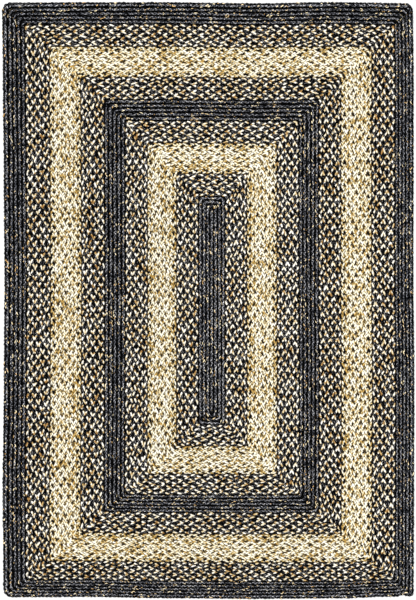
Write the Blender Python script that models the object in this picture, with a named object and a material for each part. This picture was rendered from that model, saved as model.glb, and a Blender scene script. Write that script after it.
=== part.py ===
"""A rectangular braided jute rug, lying flat.

Flat three-strand braid is laced row beside row round a short straight centre.
Every change of colour is a new length of braid, so each band of colour is its
own solid: eight closed bands and the long centre. A row shows as a raised rib
with a lacing groove on both sides of it. Metres, +Z up, +Y the rug's length,
with the origin under the middle of the rug.
"""

import math
from collections import namedtuple

import bmesh
import bpy

COLLECTION_NAME = "braided_rug"

# Heights of a laced row of braid.
BRAID_THICKNESS = 0.009
GROOVE_HEIGHT = 0.0066
LACING_GAP = 0.0003  # left between two bands

# The centre is seven rows across: three and a half on each side of its middle line.
CENTRE_WIDTH = 0.080
CENTRE_LENGTH = 0.680
CENTRE_ROWS = 3.5

# How wide each band is on each side of the rug, from the rim inwards.
Band = namedtuple("Band", "name colour rows left right top bottom")
BANDS = (
    Band("dark_border", "charcoal", 5, 0.068, 0.058, 0.062, 0.052),
    Band("outer_flecked_band", "flecked", 6, 0.071, 0.066, 0.068, 0.056),
    Band("outer_cream_band", "cream", 8, 0.092, 0.092, 0.096, 0.084),
    Band("second_flecked_band", "flecked", 6, 0.069, 0.068, 0.067, 0.063),
    Band("inner_dark_band", "charcoal", 5, 0.062, 0.058, 0.061, 0.054),
    Band("third_flecked_band", "flecked", 6, 0.066, 0.065, 0.064, 0.061),
    Band("inner_cream_band", "cream", 8, 0.086, 0.089, 0.092, 0.083),
    Band("inner_flecked_band", "flecked", 6, 0.065, 0.065, 0.067, 0.063),
)
CENTRE_NAME = "dark_centre"
CENTRE_COLOUR = "charcoal"

# What a braid's strands look like together: base colour and roughness.
Finish = namedtuple("Finish", "colour roughness")
FINISHES = {
    "charcoal": Finish((0.050, 0.048, 0.046), 0.85),
    "flecked": Finish((0.225, 0.190, 0.140), 0.88),
    "cream": Finish((0.640, 0.530, 0.350), 0.90),
}

# The rim's corners turn wider than the rows inside them, each in its own way.
Corner = namedtuple("Corner", "name rim_radius")
CORNERS = (
    Corner("bottom_left", 0.026),
    Corner("top_left", 0.024),
    Corner("top_right", 0.022),
    Corner("bottom_right", 0.011),
)
ROW_RADIUS = 0.009
RADIUS_FADE_ROWS = 2.0  # rows over which a rim corner's radius falls off towards ROW_RADIUS

# How far each side strays outwards from a straight line: along it from 0 to 1
# clockwise from its first corner, and by how much at the rim.
Stray = namedtuple("Stray", "along outwards")
STRAYS = {
    "left": (
        Stray(0.00, 0.0000),
        Stray(0.18, 0.0022),
        Stray(0.36, -0.0014),
        Stray(0.55, -0.0032),
        Stray(0.72, -0.0010),
        Stray(0.88, 0.0018),
        Stray(1.00, 0.0040),
    ),
    "top": (
        Stray(0.00, 0.0000),
        Stray(0.18, 0.0010),
        Stray(0.36, 0.0014),
        Stray(0.62, -0.0018),
        Stray(0.80, 0.0014),
        Stray(1.00, -0.0016),
    ),
    "right": (
        Stray(0.00, -0.0024),
        Stray(0.12, 0.0002),
        Stray(0.45, -0.0006),
        Stray(0.64, 0.0022),
        Stray(0.80, 0.0014),
        Stray(1.00, 0.0000),
    ),
    "bottom": (
        Stray(0.00, -0.0052),
        Stray(0.06, -0.0038),
        Stray(0.18, 0.0012),
        Stray(0.40, 0.0026),
        Stray(0.62, 0.0006),
        Stray(0.78, -0.0032),
        Stray(1.00, -0.0022),
    ),
}

# A row's section, across it from 0 to 1: its rib rises from one groove and falls to the next.
RIB_RISE = 0.27
RIM_UNDERCUT_ROWS = 0.10  # the rim's foot lies this far in, because the braid is round
RIM_BELLY = (0.30, 0.62)  # the rim's widest stretch, as shares of the thickness

# Points along each side between the corner arcs, and on each arc.
LONG_SIDE_POINTS = 6
SHORT_SIDE_POINTS = 4
ARC_POINTS = 3

SMOOTH_ANGLE = math.radians(50)

RUG_WIDTH = CENTRE_WIDTH + sum(band.left + band.right for band in BANDS)
RUG_LENGTH = CENTRE_LENGTH + sum(band.top + band.bottom for band in BANDS)
RING_ROWS = sum(band.rows for band in BANDS)


def distances_in(depth):
    """How far in from each side of the rug a ring lies that is this many rows in."""
    sides = {"left": 0.0, "right": 0.0, "top": 0.0, "bottom": 0.0}
    rows_left = depth
    for band in BANDS:
        share = min(rows_left / band.rows, 1.0)
        for side in sides:
            sides[side] += share * getattr(band, side)
        rows_left -= share * band.rows
        if rows_left <= 0.0:
            return sides
    for side in sides:
        sides[side] += rows_left * CENTRE_WIDTH / (2.0 * CENTRE_ROWS)
    return sides


def stray_at(side, along):
    """How far the side strays outwards there, eased from one given place to the next."""
    places = STRAYS[side]
    along = min(max(along, 0.0), 1.0)
    for before, after in zip(places, places[1:]):
        if along <= after.along:
            step = (along - before.along) / (after.along - before.along)
            eased = (1.0 - math.cos(math.pi * step)) / 2.0
            return before.outwards + eased * (after.outwards - before.outwards)
    return places[-1].outwards


def settled(x, y):
    """Where a point of the straight rug lies on the real one, whose sides stray a little."""
    across = x / RUG_WIDTH + 0.5
    up = y / RUG_LENGTH + 0.5
    left = stray_at("left", up) * max(0.0, 1.0 - 2.0 * across)
    right = stray_at("right", 1.0 - up) * max(0.0, 2.0 * across - 1.0)
    top = stray_at("top", across) * max(0.0, 2.0 * up - 1.0)
    bottom = stray_at("bottom", 1.0 - across) * max(0.0, 1.0 - 2.0 * up)
    return x + right - left, y + top - bottom


def corner_arc(corner, ahead, radius):
    """The quarter turn to the right at a corner's point, for a line that arrives going ahead."""
    arc = []
    for i in range(ARC_POINTS):
        angle = math.radians(90.0) * i / (ARC_POINTS - 1)
        back = radius * (1.0 - math.sin(angle))
        aside = radius * (1.0 - math.cos(angle))
        x = corner[0] - back * ahead[0] + aside * ahead[1]
        y = corner[1] - back * ahead[1] - aside * ahead[0]
        arc.append((x, y))
    return arc


def ring(depth, inset=0.0):
    """The closed line this many rows in from the rim, clockwise from the bottom left corner."""
    sides = distances_in(depth)
    left = -RUG_WIDTH / 2 + sides["left"] + inset
    right = RUG_WIDTH / 2 - sides["right"] - inset
    bottom = -RUG_LENGTH / 2 + sides["bottom"] + inset
    top = RUG_LENGTH / 2 - sides["top"] - inset
    # Each corner's point, and the direction in which the line arrives there.
    turns = (
        ((left, bottom), (-1.0, 0.0)),
        ((left, top), (0.0, 1.0)),
        ((right, top), (1.0, 0.0)),
        ((right, bottom), (0.0, -1.0)),
    )
    fade = math.exp(-depth / RADIUS_FADE_ROWS)
    arcs = [
        corner_arc(point, ahead, ROW_RADIUS + (corner.rim_radius - ROW_RADIUS) * fade)
        for corner, (point, ahead) in zip(CORNERS, turns)
    ]
    points = []
    between = (LONG_SIDE_POINTS, SHORT_SIDE_POINTS, LONG_SIDE_POINTS, SHORT_SIDE_POINTS)
    for arc, next_arc, count in zip(arcs, arcs[1:] + arcs[:1], between):
        points.extend(arc)
        (start_x, start_y), (end_x, end_y) = arc[-1], next_arc[0]
        for i in range(1, count + 1):
            share = i / (count + 1)
            points.append(
                (start_x + share * (end_x - start_x), start_y + share * (end_y - start_y))
            )
    return [settled(x, y) for x, y in points]


def middle_of(points):
    """The middle of the box round these points."""
    xs = [x for x, _ in points]
    ys = [y for _, y in points]
    return (min(xs) + max(xs)) / 2.0, (min(ys) + max(ys)) / 2.0


MIDDLE = middle_of(ring(0.0))


def rib_lines(first_row, rows):
    """The lines of a run of ribs, without its two outer edges: rows in, inset and height."""
    lines = []
    for row in range(rows):
        lines.append((first_row + row + RIB_RISE, 0.0, BRAID_THICKNESS))
        lines.append((first_row + row + 1.0 - RIB_RISE, 0.0, BRAID_THICKNESS))
        lines.append((first_row + row + 1.0, 0.0, GROOVE_HEIGHT))
    return lines[:-1]


def outer_edge_lines(first_row):
    """The lines up a band's outer edge: a rounded rim, or a plain wall beside the next band."""
    if first_row == 0:
        low, high = RIM_BELLY
        return [
            (RIM_UNDERCUT_ROWS, 0.0, 0.0),
            (0.0, 0.0, low * BRAID_THICKNESS),
            (0.0, 0.0, high * BRAID_THICKNESS),
        ]
    return [
        (first_row, LACING_GAP / 2.0, 0.0),
        (first_row, LACING_GAP / 2.0, GROOVE_HEIGHT),
    ]


def inner_edge_lines(last_row):
    """The lines down a band's inner wall."""
    return [
        (last_row, -LACING_GAP / 2.0, GROOVE_HEIGHT),
        (last_row, -LACING_GAP / 2.0, 0.0),
    ]


def lofted(name, lines, closed_section):
    """A mesh lofted along the lines. An open section is capped at its first and last line."""
    bm = bmesh.new()
    rings = []
    for depth, inset, height in lines:
        rings.append(
            [
                bm.verts.new((x - MIDDLE[0], y - MIDDLE[1], height))
                for x, y in ring(depth, inset)
            ]
        )
    following = rings[1:] + rings[:1] if closed_section else rings[1:]
    for line, next_line in zip(rings, following):
        for i in range(len(line)):
            j = (i + 1) % len(line)
            bm.faces.new((line[i], line[j], next_line[j], next_line[i]))
    if not closed_section:
        bm.faces.new(rings[0])
        bm.faces.new(rings[-1])
    bmesh.ops.recalc_face_normals(bm, faces=bm.faces)
    bmesh.ops.triangulate(bm, faces=bm.faces)
    mesh = bpy.data.meshes.new(name)
    bm.to_mesh(mesh)
    bm.free()
    mesh.shade_smooth()
    mesh.set_sharp_from_angle(angle=SMOOTH_ANGLE)
    return mesh


def jute(name, colour):
    """The plain finish of one band."""
    finish = FINISHES[colour]
    material = bpy.data.materials.new(f"{name}_jute")
    material.use_nodes = True
    shader = material.node_tree.nodes["Principled BSDF"]
    shader.inputs["Base Color"].default_value = (*finish.colour, 1.0)
    shader.inputs["Roughness"].default_value = finish.roughness
    shader.inputs["Metallic"].default_value = 0.0
    material.diffuse_color = (*finish.colour, 1.0)
    return material


def place(mesh, colour, collection):
    """The object for a band's mesh, dressed and put in the rug's collection."""
    mesh.materials.append(jute(mesh.name, colour))
    collection.objects.link(bpy.data.objects.new(mesh.name, mesh))


def build_bands(collection):
    """The eight closed bands, from the rim inwards."""
    first_row = 0
    for band in BANDS:
        last_row = first_row + band.rows
        lines = (
            outer_edge_lines(first_row)
            + rib_lines(first_row, band.rows)
            + inner_edge_lines(last_row)
        )
        place(lofted(band.name, lines, closed_section=True), band.colour, collection)
        first_row = last_row


def build_centre(collection):
    """The centre: three rows round a straight one, whose rib closes the top."""
    whole_rows = int(CENTRE_ROWS)
    last_rib = (RING_ROWS + whole_rows + RIB_RISE, 0.0, BRAID_THICKNESS)
    last_groove = (RING_ROWS + whole_rows, 0.0, GROOVE_HEIGHT)
    lines = (
        outer_edge_lines(RING_ROWS)
        + rib_lines(RING_ROWS, whole_rows)
        + [last_groove, last_rib]
    )
    place(lofted(CENTRE_NAME, lines, closed_section=False), CENTRE_COLOUR, collection)


def main():
    for old in list(bpy.data.objects):
        bpy.data.objects.remove(old, do_unlink=True)
    collection = bpy.data.collections.new(COLLECTION_NAME)
    bpy.context.scene.collection.children.link(collection)
    build_bands(collection)
    build_centre(collection)


main()
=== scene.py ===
"""The looks of a rectangular braided jute rug, lying flat.

Every row of the rug is a flat braid of three jute strands. The rows lie side
by side round a straight middle row, and a change of colour is a new length of
braid. Here each strand of each band is one piece: a soft tube that swings from
side to side of its row and passes over and under the other two. Its colour has
painted shade on its flanks, between its yarns, in the grooves between rows and
where it dives under. A thin bed of lacing thread lies between the two faces of
the rug and closes its grooves; its dark colour is partly painted shade there.
Metres, +Z up, +Y the rug's length, with the origin under the rug's middle.
"""

import logging
import math
from dataclasses import dataclass, field, replace
from enum import Enum
from typing import Iterator

import bmesh
import bpy
import numpy as np
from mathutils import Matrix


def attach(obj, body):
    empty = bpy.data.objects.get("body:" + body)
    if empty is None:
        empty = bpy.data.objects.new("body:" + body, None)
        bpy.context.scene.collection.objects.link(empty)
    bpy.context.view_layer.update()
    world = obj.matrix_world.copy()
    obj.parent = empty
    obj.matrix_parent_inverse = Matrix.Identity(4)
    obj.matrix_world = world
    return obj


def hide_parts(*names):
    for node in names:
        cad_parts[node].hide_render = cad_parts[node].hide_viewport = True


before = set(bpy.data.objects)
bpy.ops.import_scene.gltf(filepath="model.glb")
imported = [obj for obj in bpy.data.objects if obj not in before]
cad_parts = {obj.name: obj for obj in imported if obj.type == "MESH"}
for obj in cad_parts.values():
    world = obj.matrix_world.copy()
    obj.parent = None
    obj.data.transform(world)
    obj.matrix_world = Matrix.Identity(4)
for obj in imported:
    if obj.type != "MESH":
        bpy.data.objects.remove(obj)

LOG = logging.getLogger("braided_rug")
BODY = "root"
SEED = 11
TURN = 2.0 * math.pi
MIDDLE = 0.5  # of noise, and of every share from 0 to 1
NOISE_ROUGHNESS = 0.55

# The photograph's frame, in its own pixels, and where the rug's middle lies in it.
IMAGE_WIDTH = 416
IMAGE_HEIGHT = 600
METRES_PER_PIXEL = 0.002976
MIDDLE_PIXEL = (208.1, 300.4)

STRAND_MAP = "Strand"  # metres along the strand, and the share of the way round it
ROW_MAP = "Row"  # place across the row from -1 to 1, and the row's number and thirds
BAKE_MAP = "OFBake"  # strips of strand, stacked in the unit square

Colour = tuple[float, float, float]
Point = tuple[float, float]
Socket = bpy.types.NodeSocket


class Dye(Enum):
    """What the strands of a band are dyed, by the record's material slot."""

    CHARCOAL = "charcoal_braid"
    FLECKED = "flecked_braid"
    CREAM = "cream_braid"


class Side(Enum):
    """The rug's sides, clockwise, and the corner at which each begins."""

    LEFT = "bottom_left"
    TOP = "top_left"
    RIGHT = "top_right"
    BOTTOM = "bottom_right"


def added(name: str, data: bpy.types.ID) -> bpy.types.Object:
    """Makes an object of a mesh, curve, lamp or lens, and puts it in the scene.

    Args:
        name: The object's name.
        data: The mesh, curve, lamp or lens.

    Returns:
        The object, at the origin.
    """
    thing = bpy.data.objects.new(name, data)
    bpy.context.scene.collection.objects.link(thing)
    return thing


def numbers_of(parts: bpy.types.bpy_prop_collection, name: str) -> np.ndarray:
    """Reads one whole number from each of a mesh's loops or faces.

    Args:
        parts: The loops or faces.
        name: The number's name in Blender.

    Returns:
        The numbers, in order.
    """
    numbers = np.empty(len(parts), np.int32)
    parts.foreach_get(name, numbers)
    return numbers


@dataclass(frozen=True)
class Band:
    """A length of braid of one colour, laced round the rug a number of times.

    Its widths are taken on each side of the rug, from its outer edge inwards,
    and pale is how far the tones of its fibre lean to their pale end.
    """

    name: str
    dye: Dye
    rows: int
    left: float
    right: float
    top: float
    bottom: float
    pale: float = 0.0

    def width(self, side: Side) -> float:
        """The band's width on one side of the rug."""
        return getattr(self, side.name.lower())


@dataclass(frozen=True)
class RowLine:
    """The middle line of a row of braid, as closely spaced knots."""

    along: np.ndarray
    x: np.ndarray
    y: np.ndarray
    heading: np.ndarray
    pitch: np.ndarray
    bend: np.ndarray

    @property
    def length(self) -> float:
        """The line's whole length."""
        return float(self.along[-1])

    def at(self, knots: np.ndarray, place: np.ndarray) -> np.ndarray:
        """What one of the knots' values is at places along the line."""
        return np.interp(place, self.along, knots)


@dataclass(frozen=True)
class RugPlan:
    """Where the rows of the rug run.

    It has the whole width and length of the rug's solids. The edges between bands,
    the left side's stray and the outermost row are fitted more closely than theirs,
    by a few millimetres, and the notch of the tucked end is here alone.
    """

    bands: tuple[Band, ...] = (
        Band("dark_border", Dye.CHARCOAL, 5, 0.068, 0.056, 0.066, 0.052),
        Band("outer_flecked_band", Dye.FLECKED, 6, 0.071, 0.069, 0.067, 0.056),
        Band("outer_cream_band", Dye.CREAM, 8, 0.092, 0.091, 0.090, 0.084),
        Band("second_flecked_band", Dye.FLECKED, 6, 0.069, 0.066, 0.067, 0.063),
        Band("inner_dark_band", Dye.CHARCOAL, 5, 0.062, 0.060, 0.063, 0.054),
        Band("third_flecked_band", Dye.FLECKED, 6, 0.066, 0.065, 0.066, 0.061, pale=0.04),
        Band("inner_cream_band", Dye.CREAM, 8, 0.086, 0.089, 0.091, 0.083, pale=0.02),
        Band("inner_flecked_band", Dye.FLECKED, 6, 0.065, 0.065, 0.067, 0.063, pale=0.04),
    )
    centre_pale: float = 0.08
    centre_width: float = 0.080
    centre_length: float = 0.680
    centre_rows: float = 3.5
    centre_reach: float = 0.45  # rows that the middle row runs past its line at each end
    centre_knots: int = 60
    edge_row: float = 1.35  # the outermost row's width, in rows
    row_radius: float = 0.009
    fade_rows: float = 2.0
    knots_on_arc: int = 13
    knot_spacing: float = 0.010
    # The radius of the rim's corner at which each side begins, in the sides' order.
    rim_radius: dict[Side, float] = field(
        default_factory=lambda: dict(zip(Side, (0.026, 0.024, 0.022, 0.011)))
    )
    tuck_at: float = 0.578
    tuck_width: float = 0.013
    tuck_depth: float = 0.0070
    # Along each side clockwise from 0 to 1, and how far it strays outwards there.
    strays: dict[Side, tuple[Point, ...]] = field(
        default_factory=lambda: {
            Side.LEFT: (
                (0.00, 0.0020), (0.18, 0.0042), (0.36, 0.0006), (0.55, -0.0012),
                (0.72, 0.0010), (0.88, 0.0038), (1.00, 0.0060),
            ),
            Side.TOP: (
                (0.00, 0.0000), (0.18, 0.0010), (0.36, 0.0014),
                (0.62, -0.0018), (0.80, 0.0014), (1.00, -0.0016),
            ),
            Side.RIGHT: (
                (0.00, -0.0024), (0.12, 0.0002), (0.45, -0.0006),
                (0.64, 0.0022), (0.80, 0.0014), (1.00, 0.0000),
            ),
            Side.BOTTOM: (
                (0.00, -0.0052), (0.06, -0.0038), (0.18, 0.0012), (0.40, 0.0026),
                (0.62, 0.0006), (0.78, -0.0032), (1.00, -0.0022),
            ),
        }
    )  # fmt: skip

    @property
    def width(self) -> float:
        """The rug's width before its sides stray."""
        return self.centre_width + sum(band.left + band.right for band in self.bands)

    @property
    def length(self) -> float:
        """The rug's length before its sides stray."""
        return self.centre_length + sum(band.top + band.bottom for band in self.bands)

    @property
    def ring_rows(self) -> int:
        """How many closed rows lie outside the centre."""
        return sum(band.rows for band in self.bands)

    @property
    def centre_pitch(self) -> float:
        """The width of one row of the centre."""
        return self.centre_width / (2.0 * self.centre_rows)

    def distances_in(self, depth: float) -> dict[Side, float]:
        """How far in from each side a line lies that is some rows in from the rim.

        Args:
            depth: Rows in from the rim, which may end between two rows.

        Returns:
            The distance from each side of the straight rug.
        """
        sides = dict.fromkeys(Side, 0.0)
        rows_left = depth
        for i, band in enumerate(self.bands):
            taken = min(rows_left, float(band.rows))
            spare = self.edge_row - 1.0 if i == 0 else 0.0
            share = (taken + spare * min(taken, 1.0)) / (band.rows + spare)
            for side in Side:
                sides[side] += share * band.width(side)
            rows_left -= taken
        return {side: inset + rows_left * self.centre_pitch for side, inset in sides.items()}

    def pitch_at(self, depth: float) -> dict[Side, float]:
        """How wide a row is on each side of the rug.

        Args:
            depth: Rows in from the rim to anywhere in the row.

        Returns:
            The row's width on each side.
        """
        row = float(math.floor(depth))
        outer, inner = self.distances_in(row), self.distances_in(row + 1.0)
        return {side: inner[side] - outer[side] for side in Side}

    def corner_radius(self, side: Side, depth: float) -> float:
        """The radius at which a line turns into a side, which falls off inwards."""
        fade = math.exp(-depth / self.fade_rows)
        return self.row_radius + (self.rim_radius[side] - self.row_radius) * fade

    def stray_at(self, side: Side, along: np.ndarray) -> np.ndarray:
        """How far a side strays outwards, eased from one given place to the next.

        Args:
            side: The side of the rug.
            along: Places along it, from 0 to 1 clockwise.

        Returns:
            The stray at each place, at the rim.
        """
        places = np.array(self.strays[side])
        along = np.clip(along, 0.0, 1.0)
        i = np.clip(np.searchsorted(places[:, 0], along, "right") - 1, 0, len(places) - 2)
        before, after = places[i], places[i + 1]
        step = (along - before[..., 0]) / (after[..., 0] - before[..., 0])
        eased = (1.0 - np.cos(np.pi * step)) / 2.0
        return before[..., 1] + eased * (after[..., 1] - before[..., 1])

    def settled(self, x: np.ndarray, y: np.ndarray) -> tuple[np.ndarray, np.ndarray]:
        """Moves points of the straight rug to where they lie on the real one.

        Args:
            x: Places across the rug.
            y: Places up the rug.

        Returns:
            The same two, moved with the sides that stray.
        """
        across, up = x / self.width + 0.5, y / self.length + 0.5
        left = self.stray_at(Side.LEFT, up) * np.maximum(0.0, 1.0 - 2.0 * across)
        right = self.stray_at(Side.RIGHT, 1.0 - up) * np.maximum(0.0, 2.0 * across - 1.0)
        top = self.stray_at(Side.TOP, across) * np.maximum(0.0, 2.0 * up - 1.0)
        bottom = self.stray_at(Side.BOTTOM, 1.0 - across) * np.maximum(0.0, 1.0 - 2.0 * up)
        return x + right - left, y + top - bottom

    def tucked(self, x: np.ndarray, y: np.ndarray, depth: float) -> np.ndarray:
        """Draws the outermost rows in where the braid's end is tucked under.

        Args:
            x: Places across the rug.
            y: Places up the rug, which are the ones that move.
            depth: Rows in from the rim to the line that they lie on.

        Returns:
            Where the places lie up the rug.
        """
        near = np.maximum(0.0, 1.0 - np.abs(x - self.tuck_at) / self.tuck_width)
        fade = math.exp(-depth / self.fade_rows)
        return y + np.where(y < 0.0, self.tuck_depth * fade * near, 0.0)

    def middle(self) -> Point:
        """Finds the origin.

        Returns:
            The middle of the box round the rim.
        """
        x, y = self._turned_line(0.0)[:2]
        x, y = self.settled(x, y)
        return (x.min() + x.max()) / 2.0, (y.min() + y.max()) / 2.0

    def _turned_line(self, depth: float) -> tuple[np.ndarray, ...]:
        """Lays out a closed line on the straight rug, corner by corner.

        Args:
            depth: Rows in from the rim to the line.

        Returns:
            The knots' x, y, heading, row width, and how far into a corner they are.
        """
        inset, pitch = self.distances_in(depth), self.pitch_at(depth)
        left, right = -self.width / 2 + inset[Side.LEFT], self.width / 2 - inset[Side.RIGHT]
        bottom, top = -self.length / 2 + inset[Side.BOTTOM], self.length / 2 - inset[Side.TOP]
        corners = ((left, bottom), (left, top), (right, top), (right, bottom))
        sides = tuple(Side)
        turn = np.linspace(0.0, np.pi / 2, self.knots_on_arc)
        bend = np.sin(2.0 * turn) ** 2
        parts: list[np.ndarray] = []
        for i, side in enumerate(sides):
            radius = self.corner_radius(side, depth)
            arrival = np.pi - i * np.pi / 2
            ahead = np.array((math.cos(arrival), math.sin(arrival)))
            aside = np.array((ahead[1], -ahead[0]))
            # Rows that turn more tightly than the next one out leave less to fill there.
            growth = self.corner_radius(side, depth - 0.5) - self.corner_radius(side, depth + 0.5)
            mitre = (math.sqrt(2.0) - 1.0) * max(0.0, 1.0 - growth / pitch[side])
            share = turn / (np.pi / 2)
            before = pitch[sides[i - 1]]
            back = radius * (1.0 - np.sin(turn))
            off = radius * (1.0 - np.cos(turn))
            arc = np.array(corners[i]) - np.outer(back, ahead) + np.outer(off, aside)
            width = (before + share * (pitch[side] - before)) * (1.0 + mitre * bend)
            parts.append(np.column_stack((arc, arrival - turn, width, bend)))
            following = (i + 1) % len(sides)
            start, corner = arc[-1], np.array(corners[following])
            end = corner - self.corner_radius(sides[following], depth) * aside
            knots = max(2, round(float(np.linalg.norm(end - start)) / self.knot_spacing))
            share = np.linspace(0.0, 1.0, knots + 1)[1:-1]
            run = start + np.outer(share, end - start)
            rest = np.ones_like(share)
            heading = (arrival - np.pi / 2) * rest
            parts.append(np.column_stack((run, heading, pitch[side] * rest, 0.0 * rest)))
        knots_in = np.vstack(parts)
        closing = knots_in[:1].copy()
        closing[0, 2] -= TURN
        return tuple(np.vstack((knots_in, closing)).T)

    def row_line(self, depth: float) -> RowLine:
        """The line this many rows in from the rim, where it lies on the real rug.

        Args:
            depth: Rows in from the rim to the line.

        Returns:
            The closed line, clockwise from the bottom left corner.
        """
        x, y, heading, pitch, bend = self._turned_line(depth)
        x, y = self.settled(x, y)
        y = self.tucked(x, y, depth)
        middle = self.middle()
        steps = np.hypot(np.diff(x), np.diff(y))
        along = np.concatenate(((0.0,), np.cumsum(steps)))
        return RowLine(along, x - middle[0], y - middle[1], heading, pitch, bend)

    def middle_row(self) -> RowLine:
        """The straight row in the middle of the rug.

        Returns:
            The open line, from its foot to its head.
        """
        inset = self.distances_in(self.ring_rows + self.centre_rows)
        reach = self.centre_pitch * self.centre_reach
        x = -self.width / 2 + inset[Side.LEFT]
        low = -self.length / 2 + inset[Side.BOTTOM] - reach
        high = self.length / 2 - inset[Side.TOP] + reach
        y = np.linspace(low, high, self.centre_knots)
        settled_x, settled_y = self.settled(np.full_like(y, x), y)
        middle = self.middle()
        even = np.ones_like(y)
        return RowLine(
            y - low,
            settled_x - middle[0],
            settled_y - middle[1],
            even * np.pi / 2,
            even * self.centre_pitch,
            0.0 * even,
        )


class Value:
    """A number on a node's output, which adds Math nodes as it is worked with."""

    def __init__(self, graph: "Graph", socket: Socket) -> None:
        """Wraps a socket of one node graph."""
        self.graph = graph
        self.socket = socket

    def _with(self, operation: str, *others: "Value | float", swapped: bool = False) -> "Value":
        """Adds a Math node on this number and others.

        Args:
            operation: The Math node's operation.
            others: The numbers after this one.
            swapped: Whether this number comes second.

        Returns:
            The node's result.
        """
        terms = (*others, self) if swapped else (self, *others)
        sockets = dict(enumerate(terms))
        node = self.graph.node("ShaderNodeMath", {"operation": operation}, sockets)
        return Value(self.graph, node.outputs[0])

    def __add__(self, other: "Value | float") -> "Value":
        """This plus another."""
        return self._with("ADD", other)

    __radd__ = __add__

    def __sub__(self, other: "Value | float") -> "Value":
        """This less another."""
        return self._with("SUBTRACT", other)

    def __rsub__(self, other: float) -> "Value":
        """A plain number less this."""
        return self._with("SUBTRACT", other, swapped=True)

    def __mul__(self, other: "Value | float") -> "Value":
        """This times another."""
        return self._with("MULTIPLY", other)

    __rmul__ = __mul__

    def __pow__(self, other: float) -> "Value":
        """This to a power."""
        return self._with("POWER", other)

    def __abs__(self) -> "Value":
        """How far this is from 0."""
        return self._with("ABSOLUTE")

    def sine(self) -> "Value":
        """The sine of this angle."""
        return self._with("SINE")

    def cosine(self) -> "Value":
        """The cosine of this angle."""
        return self._with("COSINE")

    def eased(self, low: float, high: float) -> "Value":
        """A soft step from 0 to 1.

        Args:
            low: What this has to pass for the step to begin.
            high: Where the step ends.

        Returns:
            The step's height.
        """
        node = self.graph.node(
            "ShaderNodeMapRange",
            {"interpolation_type": "SMOOTHSTEP"},
            {"Value": self, "From Min": low, "From Max": high},
        )
        return Value(self.graph, node.outputs["Result"])


class Graph:
    """The node graph of one material."""

    def __init__(self, material: bpy.types.Material) -> None:
        """Starts from the material's own shader.

        Args:
            material: The material, which is told to use nodes.
        """
        material.use_nodes = True
        self.tree = material.node_tree
        self.shader = self.tree.nodes["Principled BSDF"]

    def node(
        self,
        kind: str,
        settings: dict[str, object] | None = None,
        sockets: dict[str | int, object] | None = None,
    ) -> bpy.types.Node:
        """Adds a node.

        Args:
            kind: The node's type.
            settings: Its own settings, set first. "stops" are a ramp's (place, colour).
            sockets: What each input holds: a Value, an output to link, or a constant.

        Returns:
            The new node.
        """
        node = self.tree.nodes.new(kind)
        for name, setting in (settings or {}).items():
            if name == "stops":
                elements = node.color_ramp.elements
                while len(elements) < len(setting):
                    elements.new(1.0)
                for element, (place, colour) in zip(elements, setting):
                    element.position = place
                    element.color = (*colour, 1.0)
            else:
                setattr(node, name, setting)
        for key, held in (sockets or {}).items():
            self.plug(node.inputs[key], held)
        return node

    def plug(self, socket: Socket, held: object) -> None:
        """Links an input, or sets its constant.

        Args:
            socket: The input.
            held: A Value or an output to link, or the constant.
        """
        if isinstance(held, Value):
            self.tree.links.new(held.socket, socket)
        elif isinstance(held, Socket):
            self.tree.links.new(held, socket)
        elif socket.type == "RGBA":
            socket.default_value = (*held, 1.0)
        else:
            socket.default_value = held

    def dress(self, sockets: dict[str, object]) -> None:
        """Plugs what the surface is like into the material's shader."""
        for name, held in sockets.items():
            self.plug(self.shader.inputs[name], held)

    def axes(self, vector: Socket) -> tuple[Value, ...]:
        """The three numbers of a vector."""
        split = self.node("ShaderNodeSeparateXYZ", None, {0: vector})
        return tuple(Value(self, output) for output in split.outputs)

    def map_axes(self, name: str) -> tuple[Value, ...]:
        """The two numbers of one of the piece's UV maps."""
        return self.axes(self.node("ShaderNodeUVMap", {"uv_map": name}).outputs[0])[:2]

    def place(self) -> Socket:
        """The place on the rug, as a vector."""
        return self.node("ShaderNodeTexCoord").outputs["Object"]

    def vector(self, x: "Value | float", y: "Value | float", z: "Value | float") -> Socket:
        """Puts three numbers together."""
        return self.node("ShaderNodeCombineXYZ", None, {0: x, 1: y, 2: z}).outputs[0]

    def noise(self, place: Socket, scale: float = 1.0, detail: float = 1.0) -> Value:
        """Smooth noise, mostly between 0.3 and 0.7.

        Args:
            place: The vector that it is read at.
            scale: How many of its swells fit in one unit of that vector.
            detail: How many finer layers it has.

        Returns:
            The noise.
        """
        node = self.node(
            "ShaderNodeTexNoise",
            {"noise_dimensions": "3D"},
            {"Vector": place, "Scale": scale, "Detail": detail, "Roughness": NOISE_ROUGHNESS},
        )
        return Value(self, node.outputs[0])

    def mix(self, factor: Value, low: Colour | Socket, high: Colour | Socket) -> Socket:
        """A colour between two, by a factor."""
        sockets = {"Factor": factor, 6: low, 7: high}  # 6 and 7 are its two colours
        return self.node("ShaderNodeMix", {"data_type": "RGBA"}, sockets).outputs[2]

    def shaded(self, colour: Socket, by: Value) -> Socket:
        """A colour made darker or lighter by a number."""
        node = self.node("ShaderNodeVectorMath", {"operation": "SCALE"}, {0: colour, "Scale": by})
        return node.outputs[0]


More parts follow.
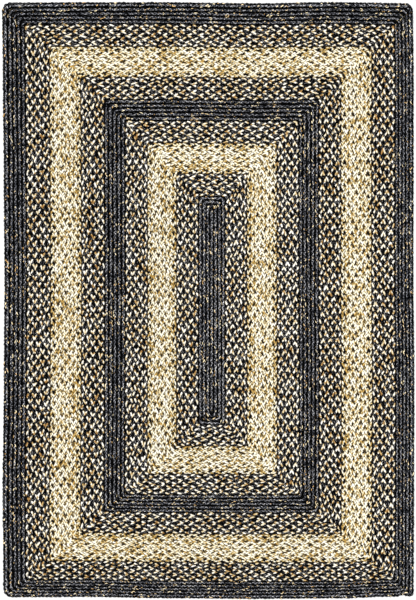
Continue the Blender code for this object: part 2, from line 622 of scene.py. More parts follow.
class Spot:
    """A spot on a strand's surface, as the numbers that its finish is made from.

    They are metres along the strand, the angle round it from its underside with
    that angle's cosine and sine, the place across its row from -1 to 1, the row's
    number and thirds, the place on the rug as a vector, and the height there.
    """

    def __init__(self, graph: Graph) -> None:
        """Reads them from the piece's maps and its place.

        Args:
            graph: The graph of the strand's material.
        """
        self.graph = graph
        self.along, around = graph.map_axes(STRAND_MAP)
        self.across, self.row = graph.map_axes(ROW_MAP)
        self.angle = around * TURN
        self.upright, self.sideways = self.angle.cosine(), self.angle.sine()
        self.place = graph.place()
        self.height = graph.axes(self.place)[2]

    def noise(
        self,
        steps: float,
        y: Value | float,
        z: Value | float,
        scale: float = 1.0,
        detail: float = 1.0,
    ) -> Value:
        """Noise that changes along the strand, in steps a metre, and with y and z."""
        return self.graph.noise(self.graph.vector(self.along * steps, y, z), scale, detail)


@dataclass(frozen=True)
class Slivers:
    """Bright slivers of undyed and rusty fibre, here and there on a dyed strand.

    The share is how common they are, and steps are how many places in a metre of
    strand may have one. Clusters are stretches with more of them, or fewer.
    """

    share: float
    straw: Colour = (0.95, 0.82, 0.52)
    rust: Colour = (0.62, 0.36, 0.12)
    steps: float = 85.0
    row_step: float = 7.3
    offset: float = 9.0
    cluster_steps: float = 14.0
    cluster_row_step: float = 1.1
    cluster_offset: float = 4.0
    clustering: float = 0.3
    rarest: float = 0.72
    rarity: float = 0.2
    softness: float = 0.03
    straw_from: float = 0.62
    straw_to: float = 0.72
    threads: float = 2.0
    thread_angle: float = 50.0  # radians that the threads turn in a metre
    thread_from: float = 0.55
    thread_to: float = 0.85

    def laid(self, spot: Spot, colour: Socket) -> Socket:
        """Lays the slivers on a strand.

        Args:
            spot: The spot on the strand.
            colour: The strand's colour there.

        Returns:
            The colour with its slivers.
        """
        wide = spot.row * self.cluster_row_step
        cluster = spot.noise(self.cluster_steps, wide, self.cluster_offset)
        piece = spot.noise(self.steps, spot.row * self.row_step, self.offset, detail=0.0)
        thread = (spot.angle * self.threads + spot.along * self.thread_angle).sine()
        start = self.rarest - self.rarity * self.share
        found = (piece + (cluster - MIDDLE) * self.clustering).eased(start, start + self.softness)
        dyed = spot.graph.mix(piece.eased(self.straw_from, self.straw_to), self.rust, self.straw)
        bare = found * thread.eased(self.thread_from, self.thread_to)
        return spot.graph.mix(bare, colour, dyed)


@dataclass(frozen=True)
class JuteStrand:
    """The finish of one dyed jute strand: twisted yarns of coarse, uneven fibre.

    The tones are the dyed fibre's colours, from its rarest dark or rusty patch
    to its rarest pale one. Shade is painted into that colour: down the strand's
    flanks, towards its row's edges, between its yarns, in the grooves between
    rows and where it dives under the others. Strengths run from 0 to 1, and steps
    are how many changes there may be in a metre of strand.
    """

    name: str
    tones: tuple[tuple[float, Colour], ...]
    # Where the tones lean: to the dark end at a row's edges as painted shade, and in a
    # band's outermost rows, and to either end in patches of the rug.
    tone_steps: float = 80.0
    tone_spread: float = 2.4
    row_step: float = 3.7
    round_step: float = 0.35
    edge_shade: float = 0.0
    edge_from: float = 0.45
    edge_to: float = 0.95
    pale: float = 0.0
    hem_dark: float = 0.0
    hem_from: float = 1.3
    hem_to: float = 0.2
    middle_row: float = 0.0
    half_rows: float = 1.0
    patches: float = 0.9
    patch_scale: float = 36.0
    # Painted shade: how dark it is down the strand's own flanks, in the groove beside
    # its row, and where it dives under the others, and how much of that painted shade
    # is lifted along the rug's rim.
    crease_shade: float = 0.8
    crease_shade_from: float = 0.45
    crease_shade_width: float = 0.5
    groove_shade: float = 0.0
    groove_shade_from: float = 0.3
    groove_shade_width: float = 0.42
    sunk_shade: float = 0.8
    deep: float = 0.0032
    level: float = 0.0004
    mid_height: float = 0.0045
    rim_light: float = 0.12
    rim_from: float = 1.0
    rim_to: float = 1.25
    # Its yarns, with painted shade between them, the fibres in them, and the hairs that lie over
    # both.
    yarns: int = 3
    yarn_turns: float = 45.0
    yarn_round: float = 0.5
    twist_shade: float = 0.28
    grain: float = 1.0
    fibre_steps: float = 90.0
    fibre_round: float = 2.6
    fibre_scale: float = 2.4
    fibre_detail: float = 2.0
    hairs: float = 0.4
    hair_twist: float = 16.0
    hair_steps: float = 160.0
    hair_round: float = 14.0
    hair_from: float = 0.3
    hair_to: float = 0.7
    slivers: Slivers | None = None
    roughness: float = 0.85
    shine: float = 0.08
    bump: float = 0.6
    bump_height: float = 0.0006
    yarn_bump: float = 0.7
    fibre_bump: float = 0.5
    hair_bump: float = 0.2

    def build(self) -> bpy.types.Material:
        """Makes the material.

        Returns:
            The material, which reads the piece's Strand and Row maps.
        """
        material = bpy.data.materials.new(self.name)
        graph = Graph(material)
        spot = Spot(graph)
        yarn, fibres, hair = self._yarn(spot), self._fibres(spot), self._hair(spot)
        # painted shade between the twisted yarns, then the fibres' and hairs' own uneven tone
        yarn_shade = 1.0 - self.twist_shade + self.twist_shade * yarn
        yarn_shade_and_fibres = yarn_shade * (1.0 + (fibres - MIDDLE) * self.grain)
        yarn_shade_and_fibres = yarn_shade_and_fibres * (1.0 + (hair - MIDDLE) * self.hairs)
        # the painted shade of the flanks, grooves and dips darkens the dyed colour
        colour = graph.shaded(self._dyed(spot), yarn_shade_and_fibres * self._shade(spot))
        if self.slivers:
            colour = self.slivers.laid(spot, colour)
        height = yarn * self.yarn_bump + fibres * self.fibre_bump + hair * self.hair_bump
        bump = {"Strength": self.bump, "Distance": self.bump_height, "Height": height}
        graph.dress(
            {
                "Base Color": colour,
                "Roughness": self.roughness,
                "Specular IOR Level": self.shine,
                "Normal": graph.node("ShaderNodeBump", None, bump).outputs[0],
            }
        )
        return material

    def _dyed(self, spot: Spot) -> Socket:
        """The fibre's own colour, patch by patch, with painted shade towards the row's edges.

        Args:
            spot: The spot on the strand.

        Returns:
            The colour.
        """
        row, sideways = spot.row * self.row_step, spot.sideways * self.round_step
        # painted shade: the tone leans dark towards the row's edges
        edge = abs(spot.across).eased(self.edge_from, self.edge_to)
        tone = (spot.noise(self.tone_steps, row, sideways) - MIDDLE) * self.tone_spread
        tone = tone + MIDDLE + self.pale - edge * self.edge_shade
        patch = spot.graph.noise(spot.place, self.patch_scale)
        tone = tone + (patch - MIDDLE) * self.patches
        if self.hem_dark:
            reach = self.half_rows - self.hem_from, self.half_rows - self.hem_to
            tone = tone - abs(spot.row - self.middle_row).eased(*reach) * self.hem_dark
        ramp = spot.graph.node("ShaderNodeValToRGB", {"stops": self.tones}, {"Fac": tone})
        return ramp.outputs["Color"]

    def _shade(self, spot: Spot) -> Value:
        """How much of its colour the painted shade on the strand's flanks, grooves and dips
        leaves.

        Args:
            spot: The spot on the strand.

        Returns:
            The share of the colour that the painted shade leaves.
        """
        # painted shade: darker where the strand dips to the rug's middle height, down its flanks
        # and in its row's grooves
        risen = abs(spot.height - self.mid_height).eased(self.level, self.deep)
        crease_shade = abs(spot.sideways).eased(self.crease_shade_from, self.crease_shade_from + self.crease_shade_width)
        groove_shade = abs(spot.across).eased(self.groove_shade_from, self.groove_shade_from + self.groove_shade_width)
        shade = (1.0 - crease_shade * self.crease_shade) * (1.0 - groove_shade * self.groove_shade)
        shade = shade * (1.0 - self.sunk_shade + self.sunk_shade * risen)
        # some of the painted shade is lifted on the outer flank of the rug's rim
        return shade + spot.across.eased(self.rim_from, self.rim_to) * self.rim_light

    def _yarn(self, spot: Spot) -> Value:
        """How high the strand's twisted yarns stand, from 0 between them to 1."""
        turned = spot.angle * float(self.yarns) + spot.along * (TURN * self.yarn_turns)
        return abs(turned.sine()) ** self.yarn_round

    def _fibres(self, spot: Spot) -> Value:
        """The coarse fibres along the strand, as noise."""
        upright, sideways = spot.upright * self.fibre_round, spot.sideways * self.fibre_round
        return spot.noise(self.fibre_steps, upright, sideways, self.fibre_scale, self.fibre_detail)

    def _hair(self, spot: Spot) -> Value:
        """The fine hairs that wind round the strand, from 0 between them to 1.

        Args:
            spot: The spot on the strand.

        Returns:
            How much of a hair lies there.
        """
        laid = spot.angle + spot.along * (TURN * self.hair_twist)
        upright, sideways = laid.cosine() * self.hair_round, laid.sine() * self.hair_round
        return spot.noise(self.hair_steps, upright, sideways).eased(self.hair_from, self.hair_to)


# Painted shade on the flanks and row grooves leaves a lit ridge down each row's middle, a painted
# highlight.
SOOT = JuteStrand(
    "soot_jute",
    (
        (0.0, (0.006, 0.007, 0.010)),
        (0.35, (0.122, 0.129, 0.153)),
        (0.7, (0.44, 0.443, 0.482)),
        (1.0, (0.82, 0.815, 0.82)),
    ),
    tone_steps=150.0,
    crease_shade=0.98,
    crease_shade_from=0.12,
    crease_shade_width=0.6,
    groove_shade=0.985,
    groove_shade_from=0.17,
    groove_shade_width=0.48,
    sunk_shade=0.92,
    yarn_turns=75.0,
    twist_shade=0.7,
    grain=3.0,
    hairs=1.2,
    slivers=Slivers(share=0.46),
    shine=0.01,
)
# Nearly black with painted shade but for a thin line down the crown, a painted highlight.
INK = JuteStrand(
    "ink_jute",
    (
        (0.0, (0.002, 0.002, 0.003)),
        (0.4, (0.05, 0.052, 0.062)),
        (0.7, (0.34, 0.33, 0.345)),
        (1.0, (0.70, 0.68, 0.65)),
    ),
    tone_steps=140.0,
    crease_shade=0.995,
    crease_shade_from=0.05,
    crease_shade_width=0.38,
    groove_shade=0.75,
    groove_shade_from=0.4,
    groove_shade_width=0.4,
    sunk_shade=0.98,
    yarn_turns=75.0,
    twist_shade=0.5,
    grain=3.2,
    hairs=0.9,
    shine=0.01,
)
FLECK = JuteStrand(
    "fleck_jute",
    (
        (0.0, (0.33, 0.17, 0.05)),
        (0.22, (0.58, 0.41, 0.17)),
        (0.42, (0.77, 0.68, 0.47)),
        (0.62, (0.87, 0.82, 0.71)),
        (1.0, (0.95, 0.92, 0.85)),
    ),
    tone_steps=110.0,
    edge_shade=0.3,
    crease_shade=0.5,
    crease_shade_from=0.6,
    crease_shade_width=0.4,
    sunk_shade=0.85,
    deep=0.0022,
)
CREAM = JuteStrand(
    "cream_jute",
    (
        (0.0, (0.46, 0.28, 0.07)),
        (0.2, (0.56, 0.38, 0.12)),
        (0.33, (0.83, 0.725, 0.47)),
        (0.5, (0.91, 0.845, 0.65)),
        (1.0, (0.975, 0.94, 0.84)),
    ),
    edge_shade=0.1,
    hem_dark=0.1,
    crease_shade=0.58,
    crease_shade_from=0.58,
    crease_shade_width=0.4,
    sunk_shade=0.4,
)
STRAW = JuteStrand(
    "straw_jute",
    (
        (0.0, (0.002, 0.002, 0.003)),
        (0.39, (0.008, 0.008, 0.008)),
        (0.45, (0.20, 0.13, 0.04)),
        (0.54, (0.56, 0.38, 0.11)),
        (0.72, (0.80, 0.66, 0.34)),
        (0.9, (0.93, 0.85, 0.68)),
    ),
    edge_shade=0.1,
    hem_dark=0.25,
    crease_shade=0.6,
    crease_shade_from=0.5,
)
STRANDS = {
    Dye.CHARCOAL: (SOOT, SOOT, SOOT),
    Dye.FLECKED: (FLECK, INK, INK),
    Dye.CREAM: (STRAW, CREAM, CREAM),
}


@dataclass(frozen=True)
class BraidForm:
    """The shape of the flat braid that every row is made of.

    A strand swings to either side by a share of its row's width, more sharply
    with its point, and less far, by the hem, at the edge of a band. Girths are
    its three strands' sizes beside the usual one. A row strays from an even braid
    by its freedom, drift, tug, stagger, lean and unevenness.
    """

    period: float = 0.0352
    swing: float = 0.285
    point: float = 0.12
    hem: float = 1.0
    girths: tuple[float, float, float] = (1.0, 1.0, 1.0)
    hem_girths: tuple[float, float, float] = (1.0, 1.0, 1.0)
    girth_power: float = 0.8
    half_width: float = 0.0033
    half_height: float = 0.0025
    usual_pitch: float = 0.01135
    thickness: float = 0.009
    least_lift: float = 0.0007
    crown: float = 0.0004
    end_length: float = 0.012
    end_girth: float = 0.12
    # pushes the outermost row's place across outwards, so the painted groove shade falls on its
    # outer flank
    rim_shade: float = 0.25
    sections: tuple[float, ...] = (45.0, 90.0, 135.0, 225.0, 270.0, 315.0)
    fine_bend: float = 0.02  # metres round a corner in which sections lie closer
    bent: float = 0.02  # the least bend of a knot that counts as in a corner
    corner_play: float = 0.05  # metres left free at each end of a straight run, at most
    corner_share: float = 0.25  # and the most of the run
    shortest_run: float = 1.5  # in periods
    period_steps: int = 12  # places in a period at which the turns are worked out
    waves: tuple[int, int, int] = (6, 6, 8)  # in a row's drift, its tug and its stagger
    unevenness: float = 0.08
    least_girth: float = 0.8
    most_girth: float = 1.2
    lean: float = 0.35
    freedom: float = 0.3
    drift: float = 0.9
    tug: float = 0.3
    stagger: float = 0.0004

    @property
    def profile(self) -> tuple[Point, ...]:
        """A strand's section, from its underside round by the left."""
        wide, high = self.half_width, self.half_height
        return (0.0, -high), (-wide, 0.0), (0.0, high), (wide, 0.0)


@dataclass
class Wander:
    """Slow, uneven drift along a row that comes back to where it began."""

    rng: np.random.Generator
    waves: tuple[int, ...]
    size: float

    def __post_init__(self) -> None:
        """Draws the strength and start of each wave."""
        count = len(self.waves)
        self.strengths = self.rng.normal(0.0, self.size / math.sqrt(count), count)
        self.starts = self.rng.uniform(0.0, TURN, count)

    def at(self, share: np.ndarray) -> np.ndarray:
        """The drift at shares of the way round."""
        angles = TURN * np.outer(share, self.waves) + self.starts
        return np.sin(angles) @ self.strengths


@dataclass
class StrandPath:
    """Where one strand runs in one row, section by section."""

    points: np.ndarray
    radius: np.ndarray
    lean: np.ndarray
    across: np.ndarray
    reach: np.ndarray
    lane: float
    closed: bool


@dataclass
class BraidRow:
    """One row of flat braid, as three strands that pass over and under each other."""

    line: RowLine
    form: BraidForm
    number: int
    rng: np.random.Generator
    hems: tuple[bool, bool] = (False, False)
    closed: bool = True

    def __post_init__(self) -> None:
        """Fits whole periods to the row and draws its unevenness."""
        places, turns = self._locked_turns()
        self.periods = round((turns[-1] - turns[0]) / TURN)
        count = self.periods
        ranges = (1, max(3, count // 4)), (count // 3, count), (count // 2, 3 * count)
        slow, quick, lively = (
            tuple(self.rng.integers(least, most, waves))
            for (least, most), waves in zip(ranges, self.form.waves)
        )
        drift = Wander(self.rng, slow, self.form.drift)
        tug = Wander(self.rng, quick, self.form.tug)
        self.stagger = Wander(self.rng, lively, self.form.stagger)
        lap = np.linspace(0.0, 1.0, self.form.period_steps * self.periods + 1)
        even = np.interp(lap, places, turns) + drift.at(lap) + tug.at(lap)
        self.shares = np.concatenate((lap, lap[1:] + 1.0))
        self.turns = np.concatenate((even, even[1:] + TURN * self.periods))

    def _locked_turns(self) -> tuple[np.ndarray, np.ndarray]:
        """Works out how far the braid has turned at places along the row.

        Beside its neighbours a row keeps half a period from each of them, so that its
        scallops lie in their notches. What is left over is taken up at the corners.

        Returns:
            The places, as shares of the row's length, and the turns there in radians.
        """
        line, period = self.line, self.form.period
        offset = np.pi * self.number + self.rng.normal(0.0, self.form.freedom)
        straight = np.flatnonzero(line.bend[:-1] == 0.0)
        runs = np.split(straight, np.flatnonzero(np.diff(straight) > 1) + 1)
        places, turns = [], []
        for run in runs:
            start, end = line.along[run[0]], line.along[run[-1]]
            clear = min(self.form.corner_play, self.form.corner_share * (end - start))
            if end - start < self.form.shortest_run * period and self.closed:
                continue
            ahead = line.heading[run[0]]
            for place in (start + clear, end - clear):
                x, y = line.at(line.x, place), line.at(line.y, place)
                wanted = TURN * (x * np.cos(ahead) + y * np.sin(ahead)) / period + offset
                if places:
                    natural = turns[-1] + TURN * (place - places[-1]) / period
                    wanted += TURN * np.round((natural - wanted) / TURN)
                places.append(place)
                turns.append(wanted)
        natural = turns[-1] + TURN * (line.length - places[-1] + places[0]) / period
        lap = TURN * np.round((natural - turns[0]) / TURN)
        places = np.array((places[-1] - line.length, *places, places[0] + line.length))
        turns = np.array((turns[-1] - lap, *turns, turns[0] + lap))
        ends = np.interp((0.0, line.length), places, turns)
        inside = (places > 0.0) & (places < line.length)
        return (
            np.concatenate(((0.0,), places[inside], (line.length,))) / line.length,
            np.concatenate((ends[:1], turns[inside], ends[:1] + lap)),
        )

    def share_at(self, turn: np.ndarray) -> np.ndarray:
        """Shares of the way round at which the braid has turned that far."""
        return np.interp(turn, self.turns, self.shares)

    def _turns_of(self, strand: int) -> np.ndarray:
        """Chooses where a strand has its sections, more closely at the corners.

        Args:
            strand: Which of the braid's three strands.

        Returns:
            Its sections, as turns of the braid.
        """
        lap, first = TURN * self.periods, self.turns[0]
        whole = TURN * np.arange(self.periods)
        turns = (whole[:, None] + np.radians(self.form.sections)).ravel() + TURN * strand / 3.0
        turns = np.sort(first + (turns - first) % lap)
        between = (turns + np.append(turns[1:], turns[0] + lap)) / 2.0
        place = (self.share_at(between) % 1.0) * self.line.length
        arcs = self.line.along[self.line.bend > self.form.bent]
        if not len(arcs):
            return turns
        nearest = np.abs(place[:, None] - arcs).min(axis=1)
        return np.sort(np.concatenate((turns, between[nearest < self.form.fine_bend])))

    def path(self, strand: int) -> StrandPath:
        """Works out a strand's sections.

        Args:
            strand: Which of the braid's three strands.

        Returns:
            Its path through this row.
        """
        form, line = self.form, self.line
        turns = self._turns_of(strand)
        share = self.share_at(turns) % 1.0
        place = share * line.length
        phase = turns - TURN * strand / 3.0
        pitch = line.at(line.pitch, place)
        wide = (pitch / form.usual_pitch) ** form.girth_power
        uneven = 1.0 + self.rng.normal(0.0, form.unevenness, len(turns))
        radius = wide * np.clip(uneven, form.least_girth, form.most_girth) * form.girths[strand]
        taper = np.ones_like(share)
        if not self.closed:
            end = np.minimum(place, line.length - place)
            taper = np.clip(end / form.end_length, form.end_girth, 1.0)
        middle = form.thickness / 2.0
        radius = np.minimum(radius, middle / form.half_height) * taper
        lift = np.maximum(middle - form.half_height * radius, form.least_lift)
        sway = (np.sin(phase) - form.point * np.sin(3.0 * phase)) / (1.0 + form.point)
        outer, inner = (form.hem if hem else 1.0 for hem in self.hems)
        out = form.swing * pitch * sway * taper * np.where(sway > 0.0, outer, inner)
        out = out + self.stagger.at(share) * taper
        heading = line.at(line.heading, place)
        x = line.at(line.x, place) - np.sin(heading) * out
        y = line.at(line.y, place) + np.cos(heading) * out
        lean = self.rng.normal(0.0, form.lean, len(turns))
        flat, upright = form.half_width * np.abs(np.sin(lean)), form.half_height * np.cos(lean)
        lowest = radius * np.maximum(flat, upright)
        z = middle - lift * np.sin(2.0 * phase) * taper
        z = np.clip(z, lowest, form.thickness + form.crown - lowest)
        half = np.minimum(pitch, form.usual_pitch) / 2.0
        return StrandPath(
            np.column_stack((x, y, z)),
            radius,
            lean,
            # the outermost row's place across is pushed out by rim_shade, for painted shade on its
            # outer flank
            out / half + (form.rim_shade if self.number == 0 else 0.0),
            form.half_width * radius / half,
            self.number + strand / 3.0,
            self.closed,
        )


@dataclass
class StrandPiece:
    """One strand of a band through all its rows, as one piece.

    Its bake map stacks it in strips, as many as the square root of its length over
    strip_ratio, with some slack at a strip's end and between strips.
    """

    name: str
    paths: list[StrandPath]
    form: BraidForm
    material: bpy.types.Material
    dye: Dye
    node: str
    strip_ratio: float = 0.016
    strip_overlap: float = 1.0001
    strip_share: float = 0.84
    strip_slack: float = 1.06

    def build(self) -> bpy.types.Object:
        """Makes the piece.

        Returns:
            The piece's object, dressed and riding on the rug.
        """
        mesh = self._tube()
        self._close_ends(mesh)
        self._write_maps(mesh)
        mesh.materials.append(self.material)
        mesh.shade_smooth()
        piece = added(self.name, mesh)
        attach(piece, BODY)
        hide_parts(self.node)
        return piece

    def _profile(self) -> bpy.types.Object:
        """Draws the closed curve that the strand's paths are bevelled with.

        Returns:
            The curve's object, which is only needed while the tube is made.
        """
        curve = bpy.data.curves.new("strand_profile", "CURVE")
        curve.dimensions = "2D"
        spline = curve.splines.new("POLY")
        spline.points.add(len(self.form.profile) - 1)
        for point, (x, y) in zip(spline.points, self.form.profile):
            point.co = (x, y, 0.0, 1.0)
        spline.use_cyclic_u = True
        return added("strand_profile", curve)

    def _tube(self) -> bpy.types.Mesh:
        """Bevels the strand's paths.

        Returns:
            One mesh of a tube for each row, ring by ring.
        """
        curve = bpy.data.curves.new(self.name, "CURVE")
        curve.dimensions = "3D"
        curve.twist_mode = "Z_UP"
        curve.bevel_mode = "OBJECT"
        profile = curve.bevel_object = self._profile()
        for path in self.paths:
            spline = curve.splines.new("POLY")
            spline.points.add(len(path.points) - 1)
            corners = np.column_stack((path.points, np.ones(len(path.points))))
            spline.points.foreach_set("co", corners.ravel())
            spline.points.foreach_set("radius", path.radius)
            spline.points.foreach_set("tilt", path.lean)
            spline.use_cyclic_u = path.closed
        holder = added(self.name, curve)
        depsgraph = bpy.context.evaluated_depsgraph_get()
        mesh = bpy.data.meshes.new_from_object(
            holder.evaluated_get(depsgraph), preserve_all_data_layers=True, depsgraph=depsgraph
        )
        mesh.name = self.name
        for drawn in (curve, profile.data):
            bpy.data.curves.remove(drawn)  # its object goes with it
        return mesh

    def _close_ends(self, mesh: bpy.types.Mesh) -> None:
        """Puts a face on each open end of a strand.

        Args:
            mesh: The strand's tubes.
        """
        bm = bmesh.new()
        bm.from_mesh(mesh)
        rims = [edge for edge in bm.edges if edge.is_boundary]
        if rims:
            bmesh.ops.holes_fill(bm, edges=rims, sides=len(self.form.profile))
            bm.to_mesh(mesh)
        bm.free()

    def _distances(self) -> tuple[np.ndarray, np.ndarray, float]:
        """Measures how far along the strand its sections lie, through all its rows.

        Returns:
            Each section's distance, the distance at its row's end, and the whole length.
        """
        along, ends, run = [], [], 0.0
        for path in self.paths:
            steps = np.linalg.norm(np.diff(path.points, axis=0, append=path.points[:1]), axis=1)
            passed = run + np.cumsum(steps)
            along += [(run,), passed[:-1]]
            ends.append(np.full(len(passed), passed[-1]))
            run = passed[-1]
        return np.concatenate(along), np.concatenate(ends), float(run)

    def _write_maps(self, mesh: bpy.types.Mesh) -> None:
        """Writes the piece's three UV maps, corner by corner.

        Args:
            mesh: The strand's tubes, whose vertices come ring by ring.
        """
        sides = len(self.form.profile)
        along, ends, length = self._distances()
        lane = np.repeat([path.lane for path in self.paths], [len(p.points) for p in self.paths])
        across = np.concatenate([path.across for path in self.paths])
        reach = np.concatenate([path.reach for path in self.paths])
        offset = np.array((0.0, 1.0, 0.0, -1.0))  # how far each corner of a section is out

        vertex = numbers_of(mesh.loops, "vertex_index")
        totals = numbers_of(mesh.polygons, "loop_total")
        face = np.repeat(np.arange(len(totals)), totals)
        ring, side = vertex // sides, vertex % sides
        face_ring = (vertex[numbers_of(mesh.polygons, "loop_start")] // sides)[face]
        has_last, has_first = np.zeros(len(totals), bool), np.zeros(len(totals), bool)
        np.logical_or.at(has_last, face, side == sides - 1)
        np.logical_or.at(has_first, face, side == 0)
        round_join = (has_last & has_first)[face] & (side == 0)
        u = np.where(ring < face_ring, ends[face_ring], along[ring])
        v = np.where(round_join, 1.0, side / sides)
        strips = max(2, round(math.sqrt(length / self.strip_ratio)))
        strip_length = length / strips * self.strip_overlap
        strip = np.floor(along[face_ring] / strip_length)
        margin = (1.0 - self.strip_share) / 2.0
        strip_u = (u - strip * strip_length) / (strip_length * self.strip_slack)
        strip_v = (strip + margin + self.strip_share * v) / strips
        for layer in list(mesh.uv_layers):
            mesh.uv_layers.remove(layer)
        maps = {
            STRAND_MAP: (u, v),
            ROW_MAP: (across[ring] + reach[ring] * offset[side], lane[ring]),
            BAKE_MAP: (strip_u, strip_v),
        }
        for name, axes in maps.items():
            layer = mesh.uv_layers.new(name=name)
            layer.data.foreach_set("uv", np.column_stack(axes).ravel())
        mesh.uv_layers.active = mesh.uv_layers[STRAND_MAP]
        mesh.uv_layers[STRAND_MAP].active_render = True


@dataclass
class BraidBand:
    """A band of the rug: rows of one braid, as three strands."""

    name: str
    dye: Dye
    rows: list[BraidRow]
    form: BraidForm
    finishes: tuple[bpy.types.Material, ...]

    def build(self) -> Iterator[bpy.types.Object]:
        """Makes the band's three strands.

        Yields:
            Each strand's piece.
        """
        for strand, material in enumerate(self.finishes):
            name = f"{self.name}_strand_{strand + 1}"
            paths = [row.path(strand) for row in self.rows]
            yield StrandPiece(name, paths, self.form, material, self.dye, self.name).build()


@dataclass(frozen=True)
class LacingBed:
    """The lacing between the rug's two faces, which closes the grooves of its rows.

    It is one closed sheet, whose thread is coloured to go with each band and dark
    enough to stand as painted shade down in the grooves.
    """

    plan: RugPlan
    # thread colours: partly the lacing thread's own, partly painted shade, near black where the
    # bands are dark
    thread_and_shade_colours: tuple[tuple[Dye, Colour], ...] = (
        (Dye.CHARCOAL, (0.002, 0.002, 0.002)),
        (Dye.FLECKED, (0.003, 0.003, 0.003)),
        (Dye.CREAM, (0.14, 0.09, 0.04)),
    )
    edge_rows: float = 0.45
    low: float = 0.0038
    high: float = 0.0052
    knot_step: int = 3
    join: float = 1e-5
    thread_scale: float = 900.0
    thread_detail: float = 2.0
    thread_from: float = 0.35
    thread_to: float = 0.75
    thread_depth: float = 0.4
    roughness: float = 0.9
    shine: float = 0.05
    name: str = "lacing_bed"

    def build(self) -> bpy.types.Object:
        """Makes the bed as one closed sheet.

        Returns:
            The bed's object, riding on the rug.
        """
        bm = bmesh.new()
        depth, order = self.edge_rows, [dye for dye, _ in self.thread_and_shade_colours]
        inner_rows = -self.edge_rows
        for band in self.plan.bands:
            inner_rows += band.rows
            outer = self._loop(bm, depth)
            depth = self.edge_rows + inner_rows
            strip = bmesh.ops.bridge_loops(bm, edges=outer + self._loop(bm, depth))["faces"]
            for face in strip:
                face.material_index = order.index(band.dye)
        bmesh.ops.contextual_create(bm, geom=self._loop(bm, depth))
        bmesh.ops.remove_doubles(bm, verts=bm.verts, dist=self.join)
        bmesh.ops.recalc_face_normals(bm, faces=bm.faces)
        raised = bmesh.ops.extrude_face_region(bm, geom=bm.faces[:])["geom"]
        top = [part for part in raised if isinstance(part, bmesh.types.BMVert)]
        bmesh.ops.translate(bm, vec=(0.0, 0.0, self.high - self.low), verts=top)
        bmesh.ops.recalc_face_normals(bm, faces=bm.faces)
        mesh = bpy.data.meshes.new(self.name)
        bm.to_mesh(mesh)
        bm.free()
        for dye, colour in self.thread_and_shade_colours:
            mesh.materials.append(self._thread(f"{dye.name.lower()}_thread", colour))
        bed = added(self.name, mesh)
        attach(bed, BODY)
        return bed

    def _loop(self, bm: bmesh.types.BMesh, depth: float) -> list[bmesh.types.BMEdge]:
        """Adds a closed line of edges.

        Args:
            bm: What it is added to.
            depth: Rows in from the rim to the line.

        Returns:
            The new edges.
        """
        line, step = self.plan.row_line(depth), self.knot_step
        knots = zip(line.x[:-1:step], line.y[:-1:step])
        verts = [bm.verts.new((x, y, self.low)) for x, y in knots]
        return [bm.edges.new(pair) for pair in zip(verts, verts[1:] + verts[:1])]

    def _thread(self, name: str, colour: Colour) -> bpy.types.Material:
        """Makes a dyed thread's finish, whose dark colour is partly painted shade in the grooves.

        Args:
            name: The material's name.
            colour: The thread's palest colour.

        Returns:
            The material.
        """
        material = bpy.data.materials.new(name)
        graph = Graph(material)
        fibres = graph.noise(graph.place(), self.thread_scale, self.thread_detail)
        deep = tuple(self.thread_depth * part for part in colour)
        strands = graph.mix(fibres.eased(self.thread_from, self.thread_to), deep, colour)
        surface = {"Roughness": self.roughness, "Specular IOR Level": self.shine}
        graph.dress({"Base Color": strands, **surface})
        return material


@dataclass(frozen=True)
class Studio:
    """The pale floor, the soft light and the camera."""

    floor_size: float = 60.0
    floor_colour: Colour = (0.68, 0.68, 0.68)
    floor_roughness: float = 0.9
    sky_strength: float = 0.65
    key_strength: float = 3.7
    key_spread: float = 0.5
    key_place: tuple[float, float, float] = (-1.1, 1.3, 4.0)
    camera_height: float = 5.2
    focus_height: float = 0.006
    sensor_height: float = 24.0

    def build(self) -> None:
        """Sets up the floor, the lights and the camera."""
        self._floor()
        self._light()
        self._camera()

    def _floor(self) -> None:
        """Lays the floor."""
        bm = bmesh.new()
        bmesh.ops.create_grid(bm, x_segments=1, y_segments=1, size=self.floor_size / 2.0)
        mesh = bpy.data.meshes.new("floor")
        bm.to_mesh(mesh)
        bm.free()
        material = bpy.data.materials.new("floor_paint")
        paint = {"Base Color": self.floor_colour, "Roughness": self.floor_roughness}
        Graph(material).dress(paint)
        mesh.materials.append(material)
        added("floor", mesh)

    def _light(self) -> None:
        """Sets one soft, even lamp in a white sky."""
        world = bpy.data.worlds.new("studio")
        world.use_nodes = True
        background = world.node_tree.nodes["Background"]
        background.inputs["Color"].default_value = (1.0, 1.0, 1.0, 1.0)
        background.inputs["Strength"].default_value = self.sky_strength
        bpy.context.scene.world = world
        lamp = bpy.data.lights.new("key", "SUN")
        lamp.energy = self.key_strength
        lamp.angle = self.key_spread
        key = added("key", lamp)
        key.location = self.key_place
        back = -key.location
        key.rotation_euler = back.to_track_quat("-Z", "Y").to_euler()

    def _camera(self) -> None:
        """Looks straight down, framed as the photograph is."""
        lens = bpy.data.cameras.new("camera")
        lens.sensor_fit = "VERTICAL"
        lens.sensor_height = self.sensor_height
        seen = IMAGE_HEIGHT * METRES_PER_PIXEL
        lens.lens = lens.sensor_height * (self.camera_height - self.focus_height) / seen
        camera = added("camera", lens)
        camera.location = (
            (IMAGE_WIDTH / 2 - MIDDLE_PIXEL[0]) * METRES_PER_PIXEL,
            (MIDDLE_PIXEL[1] - IMAGE_HEIGHT / 2) * METRES_PER_PIXEL,
            self.camera_height,
        )
        bpy.context.scene.camera = camera
        bpy.context.scene.view_settings.view_transform = "Standard"


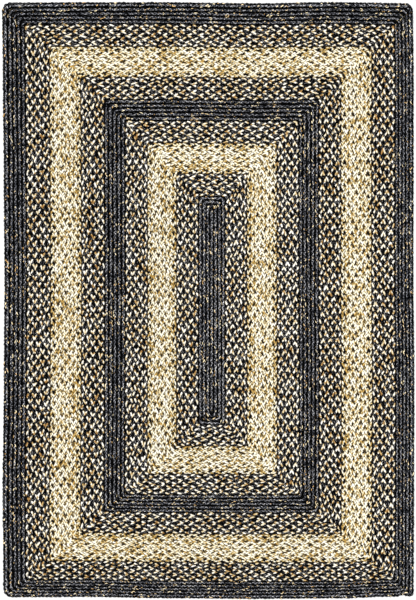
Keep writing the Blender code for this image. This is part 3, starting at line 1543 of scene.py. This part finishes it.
@dataclass(frozen=True)
class BraidedRug:
    """The whole rug: eight bands round a long centre, on their lacing."""

    plan: RugPlan = field(default_factory=RugPlan)
    form: BraidForm = field(default_factory=BraidForm)
    seed: int = SEED

    def finishes(
        self, name: str, dye: Dye, pale: float, rows: range
    ) -> tuple[bpy.types.Material, ...]:
        """Makes the materials of a band's three strands.

        Args:
            name: The band's name.
            dye: What it is dyed.
            pale: How far its tones lean to their pale end.
            rows: The numbers of its rows.

        Returns:
            A material for each strand. Strands that are dyed alike share one.
        """
        placed = [
            replace(
                strand,
                name=f"{name}_{strand.name}",
                pale=pale,
                middle_row=(rows[0] + rows[-1]) / 2.0,
                half_rows=(rows[-1] - rows[0]) / 2.0,
            )
            for strand in STRANDS[dye]
        ]
        built = {strand: strand.build() for strand in dict.fromkeys(placed)}
        return tuple(built[strand] for strand in placed)

    def forms(self) -> dict[Dye, BraidForm]:
        """Chooses how the strands of each dye lie in their braid.

        Returns:
            The braid's form for each dye.
        """
        thick_fleck, thin_straw = (1.12, 0.94, 0.94), (0.6, 1.1, 1.1)
        thick_straw = (1.12, 0.92, 0.92)
        hemmed = replace(self.form, hem=0.75)
        return {
            Dye.CHARCOAL: replace(self.form, swing=0.27, point=0.0),
            Dye.FLECKED: replace(hemmed, swing=0.42, girths=thick_fleck, hem_girths=thick_fleck),
            Dye.CREAM: replace(hemmed, swing=0.4, girths=thin_straw, hem_girths=thick_straw),
        }

    def bands(self) -> Iterator[BraidBand]:
        """Lays out the bands from the rim inwards, and then the centre.

        Yields:
            Each band, with its rows and its finishes.
        """
        rng = np.random.default_rng(self.seed)
        forms = self.forms()
        first = 0
        for band in self.plan.bands:
            form, numbers = forms[band.dye], range(first, first + band.rows)
            rows = []
            for i in numbers:
                hems = (i == numbers[0], i == numbers[-1])
                laid = replace(form, girths=form.hem_girths) if any(hems) else form
                rows.append(BraidRow(self.plan.row_line(i + 0.5), laid, i, rng, hems))
            finishes = self.finishes(band.name, band.dye, band.pale, numbers)
            yield BraidBand(band.name, band.dye, rows, form, finishes)
            first += band.rows
        name, dye = "dark_centre", Dye.CHARCOAL
        dark, last = forms[dye], first + int(self.plan.centre_rows)
        rows = [BraidRow(self.plan.row_line(i + 0.5), dark, i, rng) for i in range(first, last)]
        rows.append(BraidRow(self.plan.middle_row(), dark, last, rng, closed=False))
        finishes = self.finishes(name, dye, self.plan.centre_pale, range(first, last + 1))
        yield BraidBand(name, dye, rows, dark, finishes)

    def build(self) -> None:
        for band in self.bands():
            for piece in band.build():
                LOG.info("%s: %d faces", piece.name, len(piece.data.polygons))
        bed = LacingBed(self.plan).build()
        LOG.info("%s: %d faces", bed.name, len(bed.data.polygons))
        size = (self.plan.width, self.plan.length)


def main() -> None:
    """Builds the rug and its studio."""
    logging.basicConfig(level=logging.INFO, format="%(message)s")
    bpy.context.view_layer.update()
    BraidedRug().build()
    Studio().build()


if __name__ == "__main__":
    main()
